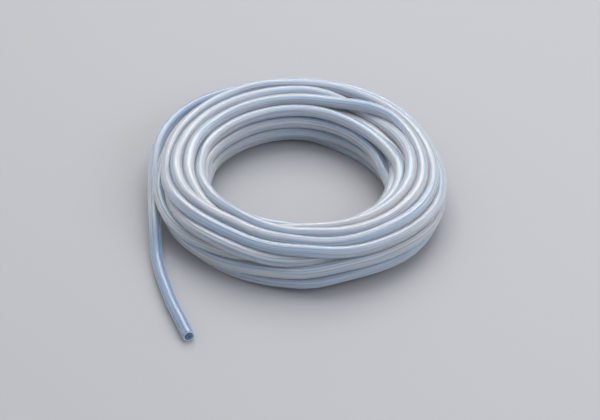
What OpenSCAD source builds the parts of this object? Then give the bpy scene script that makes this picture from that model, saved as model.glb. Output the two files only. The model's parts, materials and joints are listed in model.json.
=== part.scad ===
// Silicone tubing coil: one length of soft tube wound into a round coil,
// with its last stretch lying free beside it and cut square.
// Millimetres, +Z up. The origin is the centre of the coil's eye, on the surface it lies on.

/* [Tube] */
// Outside diameter of the tube
tube_od = 8; // [7:0.1:9.6]
// Diameter of the bore through the tube
tube_bore = 6; // [4.8:0.1:6.6]
// Length of the cut end that is straight, with a true round bore
straight_end = 20; // [10:1:22]

/* [Coil] */
// Diameter of the coil at the middle of its turns
coil_mean_d = 160; // [130:1:195]
// Width of the bundle of turns, from the eye to the outside
bundle_w = 44; // [36:1:53]
// Height of the bundle of turns
bundle_h = 37; // [30.5:0.5:44.5]
// Radius of the bundle's rounded corners
bundle_corner_r = 14; // [8:0.5:15]

/* [Hidden] */

tube_r = tube_od / 2;
bore_r = tube_bore / 2;
coil_mean_r = coil_mean_d / 2;
coil_outer_r = coil_mean_r + bundle_w / 2;

// Route of the free end. Each point is how far it lies inside the coil's outside line,
// its y, and how high the tube's underside is above the surface.
// It starts inside the bundle, comes away from it, sinks to the surface and lies on it.
route = [
    [6, -14, 9],
    [6, -26, 8],
    [7, -38, 6.5],
    [8, -50, 4],
    [9, -63, 1],
    [11, -76, 0],
    [14, -89, 0],
    [17.5, -102, 0],
    [21, -114, 0],
    [25, -125, 0],
    [33, -147, 0]
];
free_points = [for (p = route) [p.x - coil_outer_r, p.y, p.z + tube_r]];
tip = free_points[len(free_points) - 1];
tip_way = unit(tip - free_points[len(free_points) - 2]);

// Number of flat sides that the swept tube has
sides = 10;
// How much the swept bore is smaller than the true one, so that the true one cuts it cleanly
swept_bore_inset = 0.1;
// Length of the cone that leads from the swept bore to the true one
lead_in = 1;
// How far cutting shapes run past the faces they cut
past = 1;
$fn = 96;

function unit(v) = v / norm(v);
// Direction of the route at point i: from the point before it to the point after it
function way(points, i) =
    unit(points[min(i + 1, len(points) - 1)] - points[max(i - 1, 0)]);
// One ring of corners, square to the route at point i
function ring(points, i, r) =
    let (along = way(points, i), side = unit(cross(along, [0, 0, 1])), up = cross(side, along))
    [for (k = [0 : sides - 1])
        points[i] + r * (cos(360 * k / sides) * side + sin(360 * k / sides) * up)];
// All rings along the route, one after another
function rings(points, r) = [for (i = [0 : len(points) - 1]) each ring(points, i, r)];
// Number of the corner k of ring i, counted from first
function corner(first, i, k) = first + i * sides + k % sides;

// A pipe swept along points: an outer wall, a bore and a flat ring of a face at each end
module swept_pipe(points, outer_r, inner_r) {
    last = len(points) - 1;
    bore = len(points) * sides;
    walls = [for (i = [0 : last - 1], k = [0 : sides - 1]) each [
        [corner(0, i, k), corner(0, i, k + 1), corner(0, i + 1, k + 1), corner(0, i + 1, k)],
        [corner(bore, i, k), corner(bore, i + 1, k), corner(bore, i + 1, k + 1), corner(bore, i, k + 1)]
    ]];
    ends = [for (k = [0 : sides - 1]) each [
        [corner(0, 0, k), corner(bore, 0, k), corner(bore, 0, k + 1), corner(0, 0, k + 1)],
        [corner(0, last, k), corner(0, last, k + 1), corner(bore, last, k + 1), corner(bore, last, k)]
    ]];
    polyhedron(points = concat(rings(points, outer_r), rings(points, inner_r)), faces = concat(walls, ends));
}

// Section of the bundle of turns: a rectangle with round corners, standing on the x axis
module bundle_section() {
    side_x = bundle_w / 2 - bundle_corner_r;
    translate([-bundle_w / 2, bundle_corner_r]) square([bundle_w, bundle_h - 2 * bundle_corner_r]);
    translate([-side_x, 0]) square([2 * side_x, bundle_h]);
    for (x = [-side_x, side_x], z = [bundle_corner_r, bundle_h - bundle_corner_r])
        translate([x, z]) circle(r = bundle_corner_r);
}

// Solid ring with the outer shape of all the wound turns
module coil_ring() {
    rotate_extrude() translate([coil_mean_r, 0]) bundle_section();
}

// The wound turns, as one solid
module wound_turns() {
    color("#c9d8e8") coil_ring();
}

// The true round bore of the straight end, from inside the tube to past its mouth
module true_bore() {
    yaw = atan2(tip_way.y, tip_way.x);
    translate(tip) rotate([0, 90, yaw]) {
        translate([0, 0, -straight_end]) cylinder(r = bore_r, h = straight_end + past);
        translate([0, 0, -straight_end - lead_in]) cylinder(r1 = bore_r - lead_in, r2 = bore_r, h = lead_in);
    }
}

// The free stretch of the tube. It starts on the coil's own surface and ends in an open bore.
module free_end() {
    color("#b4c8e0")
    difference() {
        swept_pipe(free_points, tube_r, bore_r - swept_bore_inset);
        coil_ring();
        true_bore();
    }
}

wound_turns();
free_end();
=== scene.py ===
# %% [markdown]
# # A coil of silicone tubing
# Silicone tubing is pushed out of a round die, hung to cure, and wound into a loose coil for
# the shelf. It is one length of limp, milky tube, and everything that the eye reads comes from
# two things: how the turns lie on each other, and how light goes through a thin milky wall.
# So this lesson spends its time on those two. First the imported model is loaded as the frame,
# and its box is kept, because the tube has to stay inside it.

# %% Load the frame
import json
import math

import bpy
import numpy as np
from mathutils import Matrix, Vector


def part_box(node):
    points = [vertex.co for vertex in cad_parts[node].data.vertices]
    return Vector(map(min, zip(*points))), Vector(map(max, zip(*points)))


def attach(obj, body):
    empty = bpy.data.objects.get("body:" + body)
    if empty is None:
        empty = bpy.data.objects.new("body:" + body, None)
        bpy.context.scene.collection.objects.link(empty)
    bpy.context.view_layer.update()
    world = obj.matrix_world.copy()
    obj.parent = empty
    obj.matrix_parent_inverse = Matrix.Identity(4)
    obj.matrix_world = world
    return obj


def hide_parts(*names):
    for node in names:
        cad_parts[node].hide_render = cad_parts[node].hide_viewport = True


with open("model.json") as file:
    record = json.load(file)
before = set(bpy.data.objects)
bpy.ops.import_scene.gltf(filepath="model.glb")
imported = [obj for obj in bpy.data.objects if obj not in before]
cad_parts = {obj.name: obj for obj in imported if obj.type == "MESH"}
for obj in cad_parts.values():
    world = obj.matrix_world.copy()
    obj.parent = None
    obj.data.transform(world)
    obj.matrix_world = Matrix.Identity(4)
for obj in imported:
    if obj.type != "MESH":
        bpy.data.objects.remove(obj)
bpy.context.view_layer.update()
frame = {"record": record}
mm = 0.001

# %% [markdown]
# ## Camera
# The coil is seen from a little above the height where its eye starts to close. A long lens
# from two metres keeps the near and the far turns the same width, as a product shot does.
# The camera could be turned by hand until it looks right. It is placed by its angle above the
# bench instead, so that the eye's width to height can be checked against the sine of it.

# %% Camera
view_height_deg = 38.4
view_distance = 2.03
aim = Vector((2.5 * mm, -10.8 * mm, 0))

camera_data = bpy.data.cameras.new("camera")
camera_data.sensor_width = 36
camera_data.lens = 179
camera = bpy.data.objects.new("camera", camera_data)
bpy.context.scene.collection.objects.link(camera)
view_height = math.radians(view_height_deg)
backwards = Vector((0, -math.cos(view_height), math.sin(view_height)))
camera.location = aim + backwards * view_distance
camera.rotation_euler = (-backwards).to_track_quat("-Z", "Y").to_euler()
bpy.context.scene.camera = camera
print("camera at", tuple(round(c, 3) for c in camera.location))

# %% [markdown]
# ## Sizes
# The bore is a mount of the part, so its radius is read from the record. The wall is 1 mm.
# The wound turns replace a plain ring, whose box gives how far out and how high they may go.

# %% Sizes
mounts = {mount["name"]: mount for mount in frame["record"]["mounts"]}
bore_radius = mounts["tube_bore"]["dims"]["r_mm"] * mm
wall = 1 * mm
tube_radius = bore_radius + wall
tube_diameter = 2 * tube_radius
ring_low, ring_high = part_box("wound_turns")
print("tube", round(2 * bore_radius / mm, 1), "x", round(tube_diameter / mm, 1), "mm,",
      "ring", round(ring_high.x / mm), "mm out and", round(ring_high.z / mm), "mm high")

# %% [markdown]
# ## The free end
# The last stretch comes off the left side of the coil, sinks to the bench and lies on it in a
# slow curve. Its points are the same as the ones that the solid model was swept along.
# A smooth line through few points is a Catmull-Rom spline: each span bends so that it meets
# its neighbours in the same direction. The last span is straight, because the cut end is.

# %% Route of the free end
free_route = np.array([
    (-0.0960, -0.0140, 0.0130),
    (-0.0960, -0.0260, 0.0120),
    (-0.0950, -0.0380, 0.0105),
    (-0.0940, -0.0500, 0.0080),
    (-0.0930, -0.0630, 0.0050),
    (-0.0910, -0.0760, 0.0040),
    (-0.0880, -0.0890, 0.0040),
    (-0.0845, -0.1020, 0.0040),
    (-0.0810, -0.1140, 0.0040),
    (-0.0770, -0.1250, 0.0040),
    (-0.0690, -0.1470, 0.0040),
])
points_per_span = 3


def smooth_line(points, parts):
    """Points of a Catmull-Rom spline through the given ones, each span in so many parts"""
    before = 2 * points[0] - points[1]
    after = 2 * points[-1] - points[-2]
    knots = np.vstack([before, points, after])
    line = []
    for i in range(1, len(knots) - 2):
        p0, p1, p2, p3 = knots[i - 1:i + 3]
        for t in np.arange(parts) / parts:
            line.append(0.5 * (2 * p1 + (p2 - p0) * t + (2 * p0 - 5 * p1 + 4 * p2 - p3) * t ** 2
                               + (3 * p1 - p0 - 3 * p2 + p3) * t ** 3))
    return np.array(line + [points[-1]])


free_line = smooth_line(free_route, points_per_span)
print("free end:", len(free_line), "points")

# %% [markdown]
# ## Where the turns run
# Winding a coil by hand lays each turn in a hollow between the ones below, but never quite:
# it wanders, climbs over its neighbours and slips off again. The turns are worked out here the
# same way. A point of the tube is told by three numbers: its angle round the coil, its
# distance from the middle and its height. The angle only ever grows, so all the turns can be
# handled together, as columns of points that share an angle.
#
# The coil isn't quite round, and its bundle isn't as thick all the way round. Slow waves round
# the circle describe that: the middle line, the width and the height of the bundle.

# %% The bundle's outline round the coil
turns = 20
steps = 120
# Places where the bundle is thicker or thinner: the angle and half width in degrees, then how
# many millimetres it grows at its outside and into the eye
humps = [(140, 26, -6, 0), (176, 24, -8, 0), (50, 25, 3.5, 0), (-15, 20, 0, -2.5), (262, 25, 1.5, 0)]
line_end = math.atan2(free_route[0][1], free_route[0][0]) % (2 * math.pi)


def bump(angle, middle_deg, half_width_deg):
    """A smooth hump round an angle of the coil, 1 at its middle"""
    away = (np.degrees(angle) - middle_deg + 180) % 360 - 180
    return np.exp(-(away / half_width_deg) ** 2)


def outline(angle):
    """The bundle's middle radius, width and height at an angle round the coil"""
    middle = (80 + 0.3 * np.cos(2 * angle) - 2.5 * np.sin(2 * angle)
              - 1.0 * np.cos(3 * angle) - 1.45 * np.sin(3 * angle))
    width = (43.2 - 0.6 * np.cos(angle) + 2.7 * np.sin(angle)
             - 1.5 * np.cos(2 * angle) - 1.9 * np.sin(2 * angle))
    height = 36.6 - 0.9 * np.cos(angle) + 1.0 * np.sin(angle)
    for middle_deg, half_width_deg, outside, inside in humps:
        hump = bump(angle, middle_deg, half_width_deg)
        middle = middle + (outside - inside) / 2 * hump
        width = width + (outside + inside) * hump
    return middle * mm, width * mm, height * mm


total = turns * steps + 1
beside = 8
index = np.arange(total + beside)
angle = line_end + (index - total + 1) * 2 * math.pi / steps
middle, width, height = outline(angle)
print("wound points:", total, "about", round(2 * math.pi * 0.08 * 1000 / steps, 1), "mm apart")

# %% [markdown]
# Each turn first gets a place in the bundle's section: rows of tubes, from the bench up. From
# one turn to the next the tube walks over to its next place. On top of that comes a slow
# random wander, always the same because its seed is fixed. Another seed gives another winding.
# This one was picked out of several, so where the turns cross is made up.

# %% Places in the section
turns_in_row = [4, 5, 4, 4, 3]
places = []
for row, count in enumerate(turns_in_row):
    across = (np.arange(count) - (count - 1) / 2) * 2 / max(turns_in_row)
    if row % 2:
        across = across[::-1]
    up = -1 + 2 * (row + 0.5) / len(turns_in_row)
    places += [(a, up) for a in across]
places[0], places[1] = places[1], places[0]
places = np.array(places + places[-1:])

wander = 0.26
wander_step = 0.5
rng = np.random.default_rng(7)


def slow_noise(along, step):
    """Smooth random numbers along the tube, with a new value every so many turns"""
    knots = rng.normal(size=int(along[-1] / step) + 5)
    place = along / step + 1
    i = np.floor(place).astype(int)
    t = place - i
    p0, p1, p2, p3 = knots[i - 1], knots[i], knots[i + 1], knots[i + 2]
    return 0.5 * (2 * p1 + (p2 - p0) * t + (2 * p0 - 5 * p1 + 4 * p2 - p3) * t ** 2
                  + (3 * p1 - p0 - 3 * p2 + p3) * t ** 3)


turn_at = index / steps
turn_no = np.minimum(turn_at.astype(int), turns - 1)
step_in = np.clip(turn_at - turn_no, 0, 1)
step_in = step_in ** 2 * (3 - 2 * step_in)
place_now = places[turn_no] * (1 - step_in[:, None]) + places[turn_no + 1] * step_in[:, None]
place_now[:, 0] += wander * slow_noise(turn_at, wander_step)
place_now[:, 1] += wander * slow_noise(turn_at, wander_step)

# The section is a rectangle with very round corners, so a place is brought back onto it.
roundness = 2.6


def too_far(a, b):
    """How many times its distance from the middle a place may be divided by to be inside"""
    return np.maximum((np.abs(a) ** roundness + np.abs(b) ** roundness) ** (1 / roundness), 1)


place_now /= too_far(place_now[:, 0], place_now[:, 1])[:, None]
half_width = (width - tube_diameter) / 2
half_height = (height - tube_diameter) / 2
middle_height = tube_radius + half_height
section = np.stack([middle + place_now[:, 0] * half_width,
                    middle_height + place_now[:, 1] * half_height], -1)
print("places:", len(places) - 1, "in rows of", turns_in_row)

# %% [markdown]
# Two stretches are known better than that, because they are what makes this coil this one: the
# last turn swings out on the left before it becomes the free end, and one low turn stands out
# from the rest inside the eye, at the right and the back. Each is a short list of points: the
# angle in degrees, then the distance from the middle and the height in millimetres.

# %% Stretches that are held
held_stretches = [
    (1, 0.9, [(98, 96, 25), (112, 100, 26), (130, 105.5, 26.5), (141, 106.5, 27), (152, 105.8, 26),
              (161, 104, 24.5), (167, 102.3, 21), (175, 98.3, 17.5), (182, 96.7, 15), (188.3, 97, 13)]),
    (20, 0.95, [(-5, 65.5, 4), (5, 65.1, 4), (14, 64, 4), (24, 63.3, 4), (35, 62.3, 4), (47, 62, 4),
               (61, 62.4, 4), (76, 66.2, 4), (90, 66.4, 4)]),
]
ramp = math.radians(20)


def smoothed(values, times):
    """Values along the tube, each drawn towards its two neighbours, so many times over"""
    for _ in range(times):
        values[1:-1] += 0.25 * (values[:-2] + values[2:] - 2 * values[1:-1])
    return values


hold = np.zeros(len(angle))
for turn, strength, points in held_stretches:
    points = np.array(points)
    at = np.radians(points[:, 0]) - (turn - 1) * 2 * math.pi
    inside = (angle >= at[0]) & (angle <= at[-1] + 1e-6)
    ends_free = at[-1] < line_end - 0.01
    weight = np.clip((angle[inside] - at[0]) / ramp, 0, 1)
    if ends_free:
        weight = np.minimum(weight, np.clip((at[-1] - angle[inside]) / ramp, 0, 1))
    weight = weight ** 2 * (3 - 2 * weight) * strength
    line = smoothed(np.stack([np.interp(angle[inside], at, points[:, k]) * mm for k in (1, 2)], -1), 12)
    section[inside] += (line - section[inside]) * weight[:, None]
    hold[inside] = weight

# The free end passes close beside the turns, so it takes part as points that don't move.
free_angle = np.arctan2(free_line[:, 1], free_line[:, 0]) % (2 * math.pi)
free_distance = np.hypot(free_line[:, 0], free_line[:, 1])
fixed = index >= total - 1
section[fixed] = np.stack([np.interp(angle[fixed], free_angle, free_distance),
                           np.interp(angle[fixed], free_angle, free_line[:, 2])], -1)
print("held stretches:", len(held_stretches), "and", int(fixed.sum()), "points of the free end")

# %% [markdown]
# ## Letting the turns settle
# Now the tube is let go. In each round every point is drawn a little towards its place, sinks a
# little, and is pushed back where the bundle gets too thick. The line is smoothed, as a tube
# resists a sharp bend. Then the turns that overlap push each other apart. A push is spread along
# the tube before it acts, so that most crossings become long low humps. A few stay tight.
# Blender's soft body could be tried for this too. With twenty turns that all touch it would
# probably be slow, and plain arrays settle them in seconds.

# %% Settle the turns
rounds = 700
# How hard a point is drawn to its place, at first and where its stretch is held
pull, held_pull = 0.02, 0.25
# How far it sinks in a round, and which share of its way to the bundle's middle line it goes
sink = 0.05 * mm
gather = 0.002
# How hard the bundle is squeezed back into its outline, and how strongly a push acts
squeeze = 0.2
push_strength = 1.6
# Two turns push each other when they are closer than this
contact = 1.01 * tube_diameter
target = section.copy()
rows = -(-len(angle) // steps)
column = np.full((rows, steps), -1)
column.flat[:len(angle)] = index
there = column >= 0
column = np.where(there, column, 0)
pairs = there[:, None] & there[None, :] & ~np.eye(rows, dtype=bool)[:, :, None]
centre = np.stack([middle, middle_height], -1)


def pushes(section):
    """How far each point has to move to stop overlapping the other turns at its angle"""
    here = section[column]
    apart = here[:, None] - here[None, :]
    distance = np.sqrt((apart ** 2).sum(-1)) + 1e-9
    overlap = np.where((distance < contact) & pairs, contact - distance, 0)
    push = (apart / distance[..., None] * (overlap / 2)[..., None]).sum(1)
    push /= (0.5 + 0.5 * np.maximum((overlap > 0).sum(1), 1))[..., None]
    moved = np.zeros_like(section)
    moved[column[there]] = push[there]
    return moved


for i in range(rounds):
    left = 1 - i / rounds
    section += (target - section) * np.maximum(pull * left ** 2, held_pull * hold)[:, None]
    section[:, 1] -= sink * left * (1 - hold)
    section[:, 0] += gather * (middle - section[:, 0]) * left * (1 - hold)
    offset = (section - centre) / np.stack([half_width, half_height], -1)
    section = centre + (section - centre) * (too_far(*offset.T) ** (-squeeze * (1 - hold)))[:, None]
    section = smoothed(section, 3)
    for _ in range(4):
        push = pushes(section)
        push[:, 1] += np.maximum(tube_radius - section[:, 1] - push[:, 1], 0)
        section += push_strength * smoothed(push, 1 + round(12 * left ** 0.5))
        section[:, 1] = np.maximum(section[:, 1], tube_radius)
    section[fixed] = target[fixed]

wound_line = np.stack([section[:, 0] * np.cos(angle), section[:, 0] * np.sin(angle), section[:, 1]], -1)
line = np.vstack([wound_line[:total - 1], free_line])
smoothed(line[total - 9:total + 7], 20)
spans = np.linalg.norm(np.diff(line, axis=0), axis=1)

# %% [markdown]
# ## The tube itself
# A curve with a round bevel would make the outer wall in one step, but a milky tube also shows
# its bore: the second soft line of light along each turn comes from there. So the tube is a
# mesh with two walls, one ring of corners for each at every point of the line, and it is
# closed at both ends by the flat ring of its cut face. The cut is dressed with a tiny bevel,
# because a knife never leaves silicone perfectly sharp, and that rim is what catches the light.

# %% Rings along the line
sides = 30
rim = 0.2 * mm

way = np.gradient(line, axis=0)
way /= np.linalg.norm(way, axis=1)[:, None]
sideways = np.cross(way, (0, 0, 1))
sideways /= np.linalg.norm(sideways, axis=1)[:, None]
upwards = np.cross(sideways, way)
distance_along = np.concatenate([[0], np.cumsum(spans)])

# Every second point gets a ring, which is plenty for bends as wide as these. At the free end
# the last four points all get one.
count = len(line)
ringed = np.concatenate([[0, 1], np.arange(2, count - 4, 2), np.arange(count - 4, count)])
ring_at, way, sideways, upwards = line[ringed], way[ringed], sideways[ringed], upwards[ringed]
ring_along = distance_along[ringed]

# The second ring from each end is moved to where the bevel starts. At the free end, which is
# straight, the third one stands close behind it, so that the bevel's shading stays in it.
for end, ring, back in ((0, 1, rim), (-1, -2, -rim), (-1, -3, -6 * rim)):
    ring_at[ring] = line[end] + way[end] * back
    ring_along[ring] = ring_along[end] + back
outer_radius = np.full(len(ringed), tube_radius)
inner_radius = np.full(len(ringed), bore_radius)
outer_radius[[0, -1]] -= rim
inner_radius[[0, -1]] += rim

# Corner 0 is at the underside, and they go round from there.
turned = 2 * math.pi * np.arange(sides) / sides
spread = (np.sin(turned)[None, :, None] * sideways[:, None]
          - np.cos(turned)[None, :, None] * upwards[:, None])
outer = ring_at[:, None] + outer_radius[:, None, None] * spread
inner = ring_at[:, None] + inner_radius[:, None, None] * spread
corners = np.concatenate([outer.reshape(-1, 3), inner.reshape(-1, 3)])
print("rings:", len(ringed), "corners:", len(corners))

# %% [markdown]
# The faces are numbered by a rule: each wall is a grid of four-sided faces that closes on itself
# round the tube. The bore's faces are turned the other way, so that they look into the bore.

# %% Faces of the walls and the cut ends
last = len(ringed) - 1
bore = len(ringed) * sides
ring_no, corner_no = np.meshgrid(np.arange(last), np.arange(sides), indexing="ij")
here = (ring_no * sides + corner_no).ravel()
beside_it = (ring_no * sides + (corner_no + 1) % sides).ravel()
outer_faces = np.stack([here, beside_it, beside_it + sides, here + sides], -1)
inner_faces = outer_faces[:, ::-1] + bore
k = np.arange(sides)
k_next = (k + 1) % sides
start_faces = np.stack([k, k + bore, k_next + bore, k_next], -1)
end_faces = np.stack([k, k_next, k_next + bore, k + bore], -1) + [last * sides] * 4
faces = np.concatenate([outer_faces, inner_faces, start_faces, end_faces])

tube_mesh = bpy.data.meshes.new("silicone_tube")
tube_mesh.from_pydata(corners.tolist(), [], faces.tolist())
tube_mesh.update()
tube_mesh.polygons.foreach_set("use_smooth", [True] * len(tube_mesh.polygons))
tube = bpy.data.objects.new("silicone_tube", tube_mesh)
bpy.context.scene.collection.objects.link(tube)

# %% [markdown]
# ## What the surface has to know
# Two things about the tube can't be told from a point's place alone. Where it is along and
# around the tube, for the fine lengthwise lines, die marks that also paint thin highlight lines:
# that goes into a UV map. And how many turns lie close by, which paints scattered light into the
# colour. Silicone is milky, so one thin wall scatters mostly blue light, and many of them
# together scatter all of it and look white; here that whitening is painted from the count, not
# left to the light. It is counted in the section, for each ring, and kept as an attribute of the
# corners. The cut face is painted as thick too, a painted pale rim round the bore, where the
# wall is seen end on.

# %% Map along and around the tube
around = np.concatenate([np.tile(k / sides, len(ringed))] * 2)
along = np.concatenate([np.repeat(ring_along, sides)] * 2)
loop_corner = faces.ravel()
loop_around = around[loop_corner].reshape(-1, 4)
loop_around[(loop_around.max(1) - loop_around.min(1) > 0.5)[:, None] & (loop_around < 0.5)] += 1
tube_map = tube_mesh.uv_layers.new(name="along_and_around")
tube_map.uv.foreach_set("vector", np.stack([along[loop_corner], loop_around.ravel()], -1).ravel())

# %% Count the turns close by
# This count later paints scattered light into the colour: whiter where more turns lie near.
reach = 2.2 * tube_diameter
here = section[column]
distance = np.sqrt(((here[:, None] - here[None, :]) ** 2).sum(-1))
close = np.where(pairs, np.exp(-(distance / reach) ** 2), 0).sum(1)
crowd = np.zeros(len(angle))
crowd[column[there]] = close[there]
# The free end fades to the bluish colour of a lone wall, as part of the painted scattered light.
thinning = np.linspace(crowd[total - 1], 0, 12)
crowd = np.concatenate([crowd[:total - 1], thinning, np.zeros(len(free_line) - len(thinning))])
crowd = smoothed(crowd / crowd.max(), 8)
# The last ring and the cut face get the whitest value: a painted pale rim round the bore.
crowd[-1] = 1
stack = tube_mesh.attributes.new("painted_scatter_from_turns_near", "FLOAT", "POINT")
stack.data.foreach_set("value", np.concatenate([np.repeat(crowd[ringed], sides)] * 2))
print("turns close by, least and most:", round(float(crowd.min()), 2), round(float(crowd.max()), 2))

# %% [markdown]
# ## Silicone, extruded and cured
# Platinum-cured silicone is a soft rubber with a refractive index of 1.41. Light goes in, is
# scattered by the milky body and comes out again a few millimetres away, a little bluer than it
# went in. A part of it goes straight through, so the turns behind show faintly: that part is
# the alpha. A little true transmission bends what is seen through the two walls. The skin is
# smooth from the die, with a dusty softness at its edges that the sheen gives. The transmission
# stays low: turned up, it draws short dashes along the turns, which make them look like rope.
# A lone Principled shader does all of this, with its constant values on its own sockets.

# %% Helpers for materials


def linear(hex_colour):
    """A colour written as an sRGB hex value, as the linear colour that a shader takes"""
    parts = [int(hex_colour[i:i + 2], 16) / 255 for i in (1, 3, 5)]
    return [p / 12.92 if p <= 0.04045 else ((p + 0.055) / 1.055) ** 2.4 for p in parts] + [1]


def add_node(material, kind, settings=(), links=()):
    """Adds a node, sets its settings and inputs, and links its inputs. Returns the node."""
    node = material.node_tree.nodes.new(kind)
    for name, value in dict(settings).items():
        if isinstance(name, str) and hasattr(node, name):
            setattr(node, name, value)
        else:
            node.inputs[name].default_value = value
    for name, output in dict(links).items():
        material.node_tree.links.new(output, node.inputs[name])
    return node


def blend_ramp(material, factor, stops):
    """A colour ramp through (place, colour) stops, driven by factor"""
    ramp = add_node(material, "ShaderNodeValToRGB", links={"Fac": factor})
    elements = ramp.color_ramp.elements
    while len(elements) < len(stops):
        elements.new(0.5)
    for element, (place, colour) in zip(elements, stops):
        element.position = place
        element.color = linear(colour) if isinstance(colour, str) else (colour, colour, colour, 1)
    return ramp.outputs["Color"]


# %% [markdown]
# The constant values come first. Then the map along and around the tube is bent back into a
# tube's shape, so that a noise can run round it without a seam. Stretched out lengthwise, the
# noise makes two sorts of line: fine ones, under a millimetre wide, where the die dragged, which
# also lighten and darken the colour in streaks as painted thin highlight lines, and broad ones,
# where the milk is a little warmer or cooler. The fine ones also lift the surface by a few
# hundredths of a millimetre, to break up the highlights lengthwise.

# %% Milky silicone
silicone = bpy.data.materials.new("milky_silicone_extruded")
silicone.use_nodes = True
nodes = silicone.node_tree.nodes
shader = nodes["Principled BSDF"]
constants = {
    "IOR": 1.41,
    "Roughness": 0.27,
    "Alpha": 0.76,
    "Transmission Weight": 0.2,
    "Subsurface Weight": 0.6,
    "Subsurface Radius": (1.0, 1.1, 1.3),
    "Subsurface Scale": 4 * mm,
    "Sheen Weight": 1.0,
    "Sheen Roughness": 0.35,
}
for socket, value in constants.items():
    shader.inputs[socket].default_value = value

tube_place = add_node(silicone, "ShaderNodeUVMap", {"uv_map": "along_and_around"})
split = add_node(silicone, "ShaderNodeSeparateXYZ", links={"Vector": tube_place.outputs["UV"]})
turn_round = add_node(silicone, "ShaderNodeMath", {"operation": "MULTIPLY", 1: 2 * math.pi},
                      {0: split.outputs["Y"]})
cosine = add_node(silicone, "ShaderNodeMath", {"operation": "COSINE"}, {0: turn_round.outputs[0]})
sine = add_node(silicone, "ShaderNodeMath", {"operation": "SINE"}, {0: turn_round.outputs[0]})
around_ring = add_node(silicone, "ShaderNodeCombineXYZ",
                       links={"X": split.outputs["X"], "Y": cosine.outputs[0], "Z": sine.outputs[0]})


def lengthwise_lines(width_mm, length_mm, detail):
    """Soft random lines along the tube, of about that width and length"""
    per_width = tube_radius / (width_mm * mm)
    per_length = 1 / (length_mm * mm)
    stretched = add_node(silicone, "ShaderNodeVectorMath", {"operation": "MULTIPLY",
                         1: (per_length, per_width, per_width)}, {0: around_ring.outputs[0]})
    return add_node(silicone, "ShaderNodeTexNoise", {"Scale": 1.0, "Detail": detail, "Roughness": 0.55},
                    {"Vector": stretched.outputs[0]}).outputs["Fac"]


close_by = add_node(silicone, "ShaderNodeAttribute", {"attribute_name": "painted_scatter_from_turns_near"}).outputs["Fac"]
# Painted scattered light: bluish where one wall lies alone, whitish where many turns lie close by.
colour_with_painted_scatter = blend_ramp(silicone, close_by, [(0.08, "#A0BDDD"), (0.4, "#CDDEF0"), (0.85, "#F1F4F8")])
fine_lines = lengthwise_lines(0.8, 80, 3)
broad_lines = lengthwise_lines(2.5, 160, 2)
# The fine lines lighten and darken the colour in streaks: die marks that also paint thin highlight lines.
die_lines_and_painted_highlight_lines = blend_ramp(silicone, fine_lines, [(0.38, 0.66), (0.6, 1.0)])
broad_tint = blend_ramp(silicone, broad_lines, [(0.38, "#FFF4EE"), (0.62, "#DEE9FA")])


def multiply(first, second):
    """One colour multiplied by another"""
    return add_node(silicone, "ShaderNodeMix", {"data_type": "RGBA", "blend_type": "MULTIPLY", "Factor": 1.0},
                    {"A": first, "B": second}).outputs["Result"]


colour = multiply(multiply(colour_with_painted_scatter, die_lines_and_painted_highlight_lines), broad_tint)
silicone.node_tree.links.new(colour, shader.inputs["Base Color"])
grooves = add_node(silicone, "ShaderNodeBump", {"Strength": 0.3, "Distance": 0.1 * mm},
                   {"Height": fine_lines})
silicone.node_tree.links.new(grooves.outputs["Normal"], shader.inputs["Normal"])
tube_mesh.materials.append(silicone)
print("material", silicone.name, "with", len(nodes), "nodes")

# %% [markdown]
# ## Bench and light
# A plain pale bench, a large soft lamp above and behind, which draws the long highlights on
# top of the turns, and a weaker one in front so that the near side isn't lost.

# %% Bench
bpy.ops.object.select_all(action="DESELECT")
bpy.ops.mesh.primitive_plane_add(size=6, location=(0, 0, 0))
bench = bpy.context.object
bench.name = "bench"
bench_paint = bpy.data.materials.new("matt_bench_paint")
bench_paint.use_nodes = True
bench_paint.node_tree.nodes["Principled BSDF"].inputs["Base Color"].default_value = linear("#AEAFB2")
bench_paint.node_tree.nodes["Principled BSDF"].inputs["Roughness"].default_value = 0.6
bench.data.materials.append(bench_paint)

# %% Lamps


def add_lamp(name, place, size, watts, colour):
    """A square soft lamp that looks at the coil"""
    lamp = bpy.data.lights.new(name, "AREA")
    lamp.size = size
    lamp.energy = watts
    lamp.color = linear(colour)[:3]
    holder = bpy.data.objects.new(name, lamp)
    holder.location = place
    holder.rotation_euler = (-Vector(place)).to_track_quat("-Z", "Y").to_euler()
    bpy.context.scene.collection.objects.link(holder)


add_lamp("top_lamp", (0.1, 0.55, 1.1), 1.2, 11, "#FFFFFF")
add_lamp("side_lamp", (0.9, -0.5, 0.8), 0.6, 3.5, "#F4F8FF")
room = bpy.data.worlds.new("room")
bpy.context.scene.world = room
room.use_nodes = True
room.node_tree.nodes["Background"].inputs["Color"].default_value = linear("#E8EAED")
room.node_tree.nodes["Background"].inputs["Strength"].default_value = 0.78
bpy.context.scene.view_settings.view_transform = "Standard"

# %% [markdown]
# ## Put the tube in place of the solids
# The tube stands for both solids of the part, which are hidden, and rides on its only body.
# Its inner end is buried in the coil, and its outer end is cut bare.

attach(tube, "root")
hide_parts("wound_turns", "free_end")
